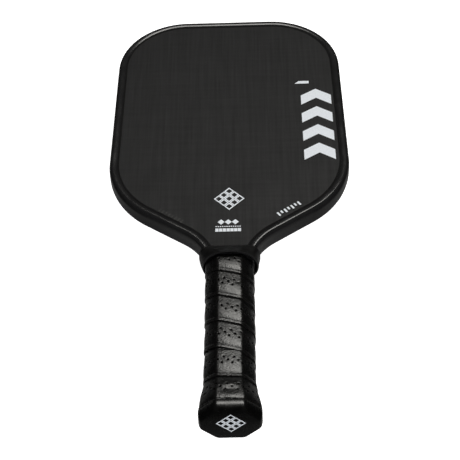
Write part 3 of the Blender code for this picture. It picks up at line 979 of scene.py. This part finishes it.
def hole_centres(first, last, first_hole_row):
    """Grid vertices at the middle of each perforation, in three staggered rows."""
    centres = []
    for row, shift in HOLE_ROW_CELLS:
        for column in range(first, last + 1):
            if (column - shift) % COLUMNS_PER_PITCH == 0 and first + 3 < column < last - 3:
                centres.append((column, first_hole_row + row))
    return centres


def block_round(centre, low, high):
    """Grid places round a centre, from the low step up to just before the high one."""
    column, row = centre
    return [(column + i, row + j) for i in range(low, high) for j in range(low, high)]


def hole_ring(centre):
    """The sixteen grid vertices round a perforation's block of cells, in order."""
    column, row = centre
    right = [(2, j) for j in range(-2, 2)]
    upper = [(i, 2) for i in range(2, -2, -1)]
    left = [(-2, j) for j in range(2, -2, -1)]
    lower = [(i, -2) for i in range(-2, 2)]
    return [(column + i, row + j) for i, j in right + upper + left + lower]


def over_fastener(point):
    """Whether a perforation here is above one of the fasteners under the strip."""
    for node_name in ("front_cap_staple", "back_cap_staple", "grip_tack"):
        low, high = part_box(node_name)
        near_x = low.x - FASTENER_MARGIN < point.x < high.x + FASTENER_MARGIN
        near_y = low.y - FASTENER_MARGIN < point.y + BUTT_Y < high.y + FASTENER_MARGIN
        if near_x and near_y and (low.z + high.z) * point.z > 0:
            return True
    return False


def add_hole(mesh_data, strip, top, centre, rows):
    """A punched pit: soft edge, wall and floor, joined to the grid vertices round it."""
    middle_along, middle_across = strip.along_at(centre[0]), rows[centre[1]]
    covers_fastener = over_fastener(strip.place(middle_along, middle_across, 0.0))
    floor = -FASTENER_DEPTH if covers_fastener else STRIP_INNER + HOLE_SKIN
    outer = [top[key] for key in hole_ring(centre)]
    for scale, sink in HOLE_LEVELS:
        inner = []
        for column, row in hole_ring(centre):
            offset = Vector((strip.along_at(column) - middle_along, rows[row] - middle_across))
            offset = offset.normalized() * HOLE_RADIUS * scale
            along, across = middle_along + offset.x, middle_across + offset.y
            inner.append(mesh_data.verts.new(strip.top_point(along, across, sink, floor)))
        bridge(mesh_data, outer, inner)
        outer = inner
    mesh_data.faces.new(outer)


def trim(mesh_data, y, keep_above):
    """Cuts the strip off square and closes the cut."""
    geometry = mesh_data.verts[:] + mesh_data.edges[:] + mesh_data.faces[:]
    bmesh.ops.bisect_plane(
        mesh_data,
        geom=geometry,
        dist=1e-7,
        plane_co=(0, y, 0),
        plane_no=(0, 1, 0),
        clear_inner=keep_above,
        clear_outer=not keep_above,
    )
    open_edges = [edge for edge in mesh_data.edges if edge.is_boundary]
    bmesh.ops.holes_fill(mesh_data, edges=open_edges, sides=0)


def build_grip(material):
    mesh_data = build_strip_mesh()
    trim(mesh_data, GRIP_START, keep_above=True)
    trim(mesh_data, GRIP_END, keep_above=False)
    grip = add_piece("grip_strip", mesh_data, material, ("grip_wrap",), sharp_deg=50)


# Butt cap


def build_cap(material):
    """A round-edged octagonal end with a skirt that reaches under the grip."""
    section = (CAP_HALF_WIDTH, CAP_HALF_DEPTH, CAP_CHAMFER)
    rings = []
    for step in range(CAP_EDGE_STEPS + 1):
        angle = math.pi / 2 * step / CAP_EDGE_STEPS
        inset = CAP_EDGE_INSET * (1 - math.sin(angle))
        y = CAP_EDGE_LENGTH * (1 - math.cos(angle))
        drop = CAP_END_DROP * math.cos(angle)
        radius = CAP_CORNER_RADIUS + (CAP_END_CORNER_RADIUS - CAP_CORNER_RADIUS) * math.cos(angle)
        ring = section_ring(shrunk(section, inset), radius, y, CAP_RING_POINTS)
        rings.append([(x, y, z - drop) for x, y, z in ring])
    for inset, short in CAP_SEAM_EDGE:
        edge = shrunk(section, inset)
        rings.append(section_ring(edge, CAP_CORNER_RADIUS, CAP_SEAM - short, CAP_RING_POINTS))
    skirt = shrunk(FLARED_GRIP_SECTION, CAP_SKIRT_COVER)
    skirt_end = shrunk(GRIP_SECTION, CAP_SKIRT_COVER)
    cavity = shrunk(GRIP_SECTION, CAP_CAVITY_INSET)
    inner = ((skirt, CAP_SEAM), (skirt_end, CAP_SKIRT_END), (cavity, CAP_SKIRT_END), (cavity, CAP_FLOOR))
    for ring_section, y in inner:
        rings.append(section_ring(ring_section, CAP_SKIRT_CORNER_RADIUS, y, CAP_RING_POINTS))
    add_piece("butt_cap_shell", loft(rings), material, ("butt_cap",))


# Collar


def oval_ring(y, width, depth, power):
    """A superellipse at y, from an ellipse at power 2 towards a rectangle as the power grows."""
    level = COLLAR_PLACES[1][0]
    aside = COLLAR_RIM_SHIFT * max(0.0, (level - y) / (level - COLLAR_START))
    ring = []
    for step in range(COLLAR_RING_POINTS):
        angle = 2 * math.pi * (step + 0.5) / COLLAR_RING_POINTS
        cosine, sine = math.cos(angle), math.sin(angle)
        x = math.copysign(width * abs(cosine) ** (2 / power), cosine)
        z = math.copysign(depth * abs(sine) ** (2 / power), sine)
        ring.append((x + aside, y, z))
    return ring


def collar_shape(y):
    """Half width, half depth and power of the collar's outside at y."""
    places = COLLAR_PLACES
    for low, high in zip(places, places[1:]):
        if y <= high[0]:
            break
    share = (y - low[0]) / (high[0] - low[0])
    return tuple(a + (b - a) * share for a, b in zip(low[1:], high[1:]))


def collar_rings(start, end, steps, inset):
    rings = []
    for step in range(steps + 1):
        y = start + (end - start) * step / steps
        width, depth, power = collar_shape(y)
        rings.append(oval_ring(y, width - inset, depth - inset, power))
    return rings


def build_collar(material):
    """A flared shell cut to the guard and the face at its top, open round the grip below."""
    rim_width, rim_depth, rim_power = collar_shape(COLLAR_START)
    rings = []
    for angle_deg in (0, 30, 60):
        angle = math.radians(angle_deg)
        inset = COLLAR_RIM_ROUND * (1 - math.sin(angle))
        y = COLLAR_START + COLLAR_RIM_ROUND * (1 - math.cos(angle))
        rings.append(oval_ring(y, rim_width - inset, rim_depth - inset, rim_power))
    rings += collar_rings(COLLAR_START + COLLAR_RIM_ROUND, COLLAR_PLACES[-1][0], COLLAR_STEPS, 0.0)
    collar = add_piece("collar_shell", loft(rings), material, ("throat_collar",))
    wall = COLLAR_WALL
    mouth = oval_ring(COLLAR_START - COLLAR_MOUTH, rim_width - wall, rim_depth - wall, rim_power)
    inside = collar_rings(COLLAR_START, COLLAR_CAVITY_END, COLLAR_CAVITY_STEPS, wall)
    subtract(collar, add_mesh_object("cavity", loft([mouth] + inside)), *panel_solids())


def panel_solids():
    """The panel and the filled guard near the throat, a little oversize, as cutters."""
    half_height = FACE_HEIGHT + COLLAR_SPARE
    path = neck_arc(180)
    right = [(x - out_x * PANEL_INSET, y - out_y * PANEL_INSET) for (x, y), (out_x, out_y) in path]
    outline = right + [(-x, y) for x, y in reversed(right)]
    solids = [add_mesh_object("panel", prism([outline], -half_height, half_height))]
    upper = [(inset - COLLAR_SPARE, z + COLLAR_SPARE) for inset, z in guard_profile()[1:]]
    upper.append((GUARD_LIP + COLLAR_SPARE, upper[-1][1]))
    section = upper + [(inset, -z) for inset, z in reversed(upper)]
    for side in (mirrored(path), path):
        solids.append(add_mesh_object("guard", swept(side, section)))
    return solids


# Printed marks


def turned(points, centre, angle_deg, scale):
    """Points in millimetres turned, scaled and moved to a centre in millimetres."""
    angle = math.radians(angle_deg)
    cosine, sine = math.cos(angle) * scale, math.sin(angle) * scale
    return [
        ((centre[0] + x * cosine - y * sine) * MM, (centre[1] + x * sine + y * cosine) * MM)
        for x, y in points
    ]


def rectangle(x, y, width, height):
    left, right = x - width / 2, x + width / 2
    low, high = y - height / 2, y + height / 2
    return [(left, low), (right, low), (right, high), (left, high)]


def diamond(x, y, half):
    return [(x, y - half), (x + half, y), (x, y + half), (x - half, y)]


def diamond_frame(x, y, half, stroke):
    """A hollow diamond as four mitred strokes."""
    outer, inner = diamond(x, y, half), diamond(x, y, half - stroke)
    return [[outer[i], outer[(i + 1) % 4], inner[(i + 1) % 4], inner[i]] for i in range(4)]


def diamond_lattice():
    """Nine hollow diamonds standing on their points, as one large diamond, in millimetres."""
    pitch = 4.1
    shapes = []
    for i in (-1, 0, 1):
        for j in (-1, 0, 1):
            shapes += diamond_frame((i - j) * pitch, (i + j) * pitch, 3.9, 1.35)
    return shapes


def chevron(y, width, rise, stroke):
    half, upper = width / 2, y + stroke
    return [(-half, y), (0, y + rise), (half, y), (half, upper), (0, y + rise + stroke), (-half, upper)]


def stamp(name, shapes, material, centre, angle_deg=0.0, scale=1.0, on_butt=False):
    """Flat ink shapes as one piece, on the face, or on the end of the cap where x is seen from outside."""
    outlines = [turned(shape, centre, angle_deg, scale) for shape in shapes]
    height = 0.0 if on_butt else FACE_HEIGHT + INK_LIFT
    mesh_data = prism(outlines, height, height + INK_THICKNESS)
    if on_butt:
        bmesh.ops.rotate(mesh_data, verts=mesh_data.verts, matrix=Matrix.Rotation(math.pi / 2, 3, "X"))
    add_piece(name, mesh_data, material)


def build_marks():
    """Generic shapes where the paddle carries printed marks, in millimetres."""
    white_ink = printed_ink("white_ink", (0.72, 0.76, 0.81), (0.83, 0.87, 0.92), 0.5)
    clear_ink = printed_ink("clear_ink", (0.002,) * 3, (0.004,) * 3, 0.3)
    side = [chevron(21.6 * index, 24.9, 8.0, 11.2) for index in range(4)]
    side.append([(-17.0, 91.0), (-5.2, 91.0), (-5.2, 94.2), (-13.6, 94.2)])
    stamp("side_mark", side, white_ink, (72.15, 243.6))

    ticks = []
    for index in range(7):
        y, height = (0.6, 2.8) if index % 2 else (0.0, 4.0)
        ticks.append(rectangle(-9.6 + 3.2 * index, y, 1.5, height))
    stamp("scale_mark", ticks, white_ink, (45.7, 191.0), angle_deg=35)

    stamp("face_emblem", diamond_lattice(), white_ink, (0, 203), scale=0.98)

    badge = [diamond(x, 178.6, 2.66) for x in (-6.2, -0.8, 4.6)]
    badge += [rectangle(-9.9 + 1.64 * index, 174.0, 1.0, 0.9) for index in range(12)]
    badge += [rectangle(-9.3 + 2.82 * index, 170.4, 2.5, 3.2) for index in range(7)]
    stamp("badge_mark", badge, white_ink, (0, 0))

    faint = [rectangle(-10.5 + 3.0 * index, 0, 1.1, 3.4) for index in range(8)]
    stamp("gloss_mark", faint, clear_ink, (-44.6, 186.6), angle_deg=-35)

    stamp("end_mark", diamond_lattice(), white_ink, (0.4, 1.7), scale=0.84, on_butt=True)


# Camera, floor and light


def add_camera():
    pitch, yaw, roll = map(math.radians, (CAMERA_PITCH_DEG, CAMERA_YAW_DEG, CAMERA_ROLL_DEG))
    forward = Vector((math.sin(yaw) * math.cos(pitch), math.cos(yaw) * math.cos(pitch), -math.sin(pitch)))
    level = Vector((math.cos(yaw), -math.sin(yaw), 0))
    upright = level.cross(forward)
    right = math.cos(roll) * level + math.sin(roll) * upright
    up = math.cos(roll) * upright - math.sin(roll) * level
    camera = link_object("camera", bpy.data.cameras.new("camera"))
    matrix = Matrix((right, up, -forward)).transposed().to_4x4()
    matrix.translation = Vector(CAMERA_PLACE)
    camera.matrix_world = matrix
    camera.data.lens = CAMERA_LENS
    camera.data.clip_end = 100
    bpy.context.scene.camera = camera


def resting_place():
    """Where the collar's rim touches the floor, and the floor's slope from there to the head's back lip."""
    rim = Vector((0, COLLAR_START + BUTT_Y, -COLLAR_HALF_DEPTH))
    lip = Vector((0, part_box("edge_guard")[1].y - REST_FROM_TIP, -GUARD_HALF_THICKNESS))
    return rim, math.atan2(lip.z - rim.z, lip.y - rim.y)


def add_backdrop_piece(name, mesh_data, material, place, slope):
    obj = link_object(name, mesh_from(name, mesh_data))
    obj.data.materials.append(material)
    obj.location = place
    obj.rotation_euler = (slope, 0, 0)
    return obj


def floor_material():
    material, tree, shader = surface("pale_floor", Roughness=0.9, Specular_IOR_Level=0.0)
    soft = tint(tree, grain(tree, 0.5, detail=2), ((0.3, (0.9,) * 3), (0.7, (0.92,) * 3)))
    tree.links.new(soft, shader.inputs["Base Color"])
    shader.inputs["Emission Color"].default_value = (1, 1, 1, 1)
    shader.inputs["Emission Strength"].default_value = 1.0
    return material


def add_floor(place, slope):
    """A wide pale floor that rises into a dome, seen by the camera only."""
    mesh_data = bmesh.new()
    bmesh.ops.create_uvsphere(mesh_data, u_segments=64, v_segments=32, radius=FLOOR_RADIUS)
    for vertex in mesh_data.verts:
        vertex.co.z = max(vertex.co.z, 0.0)
    bmesh.ops.remove_doubles(mesh_data, verts=mesh_data.verts, dist=1e-5)
    floor = add_backdrop_piece("floor", mesh_data, floor_material(), place, slope)
    floor.visible_glossy = False
    floor.visible_diffuse = False
    floor.visible_shadow = False
    return floor


def oval_glow(tree, centre, reach):
    """One at the centre of an oval, falling to zero at its edge."""
    source = add_node(tree, "ShaderNodeTexCoord").outputs["Object"]
    inputs = {"Vector": source, "Location": centre, "Scale": reach}
    centred = add_node(tree, "ShaderNodeMapping", inputs, vector_type="TEXTURE").outputs["Vector"]
    gradient = add_node(tree, "ShaderNodeTexGradient", {"Vector": centred}, gradient_type="SPHERICAL")
    return gradient.outputs["Fac"]


def table_material():
    """Near black, with a glow by the handle and a fainter, flatter one by the head."""
    material, tree, shader = surface("table_grey", Roughness=0.9, Specular_IOR_Level=0.0)
    by_head = maths(tree, "MULTIPLY", oval_glow(tree, *HEAD_GLOW), 4.0)
    by_head = maths(tree, "MINIMUM", by_head, HEAD_GLOW_LEVEL)
    glow = maths(tree, "MAXIMUM", oval_glow(tree, *HANDLE_GLOW), by_head)
    soft = tint(tree, glow, ((0.0, (0.01,) * 3), (0.18, (0.2,) * 3), (0.85, (0.62,) * 3)))
    tree.links.new(soft, shader.inputs["Base Color"])
    return material


def add_table(place, slope):
    """The surface that the paddle reflects from below, unseen itself."""
    mesh_data = bmesh.new()
    bmesh.ops.create_circle(mesh_data, cap_ends=True, segments=64, radius=TABLE_RADIUS)
    table = add_backdrop_piece("table", mesh_data, table_material(), place, slope)
    table.visible_camera = False
    return table


def add_backdrop():
    """Floor and table, at the slope on which the paddle really rests."""
    place, slope = resting_place()
    floor = add_floor(place, slope)
    table = add_table(place - Vector((0, 0, TABLE_DROP)), slope)


def add_softbox(name, direction_deg, distance, size, radiance, shows_in_gloss=True, colour=(1, 1, 1)):
    """A rectangular light that faces the paddle from an azimuth and elevation.

    Azimuth 0 is beyond the head, and 90 is to the right.
    """
    azimuth, elevation = map(math.radians, direction_deg)
    level = math.cos(elevation)
    toward = Vector((math.sin(azimuth) * level, math.cos(azimuth) * level, math.sin(elevation)))
    width, height = size
    data = bpy.data.lights.new(name, "AREA")
    data.shape = "RECTANGLE"
    data.size, data.size_y = width, height
    data.energy = radiance * math.pi * width * height
    data.color = colour
    light = link_object(name, data)
    light.location = toward * distance
    light.rotation_mode = "QUATERNION"
    light.rotation_quaternion = toward.to_track_quat("Z", "Y")
    light.visible_glossy = shows_in_gloss
    light.visible_camera = False


def add_lights():
    add_softbox("key", (17, 62.5), 2.0, (1.1, 0.65), 11.0, colour=(1.0, 0.985, 0.94))
    add_softbox("fill", (175, 28), 2.5, (2.0, 1.2), 6.5, shows_in_gloss=False)
    world = bpy.data.worlds.new("studio")
    world.use_nodes = True
    world.node_tree.nodes["Background"].inputs["Color"].default_value = (*(WORLD_GREY,) * 3, 1)
    bpy.context.scene.world = world
    bpy.context.scene.view_settings.view_transform = "Standard"


def main():
    dress_cad_nodes()
    # Near-black rubber for the lip beads, painted shade for the gap between the guard's lip and the face
    shade_bead = moulded_rubber("shade_bead_black", (0.0006,) * 3, (0.0014,) * 3, (0.6, 0.75), 0.7 * MM, 0.1)
    build_guard(moulded_plastic(), shade_bead)
    build_grip(grip_leather())
    dark, light = (0.003,) * 3, (0.006, 0.006, 0.0061)
    build_collar(moulded_rubber("collar_rubber", dark, light, (0.38, 0.5), 0.6 * MM, 0.35))
    dark, light = (0.0008,) * 3, (0.002, 0.002, 0.0019)
    build_cap(moulded_rubber("cap_rubber", dark, light, (0.22, 0.3), 0.9 * MM, 0.42))
    build_marks()
    add_camera()
    add_backdrop()
    add_lights()


main()
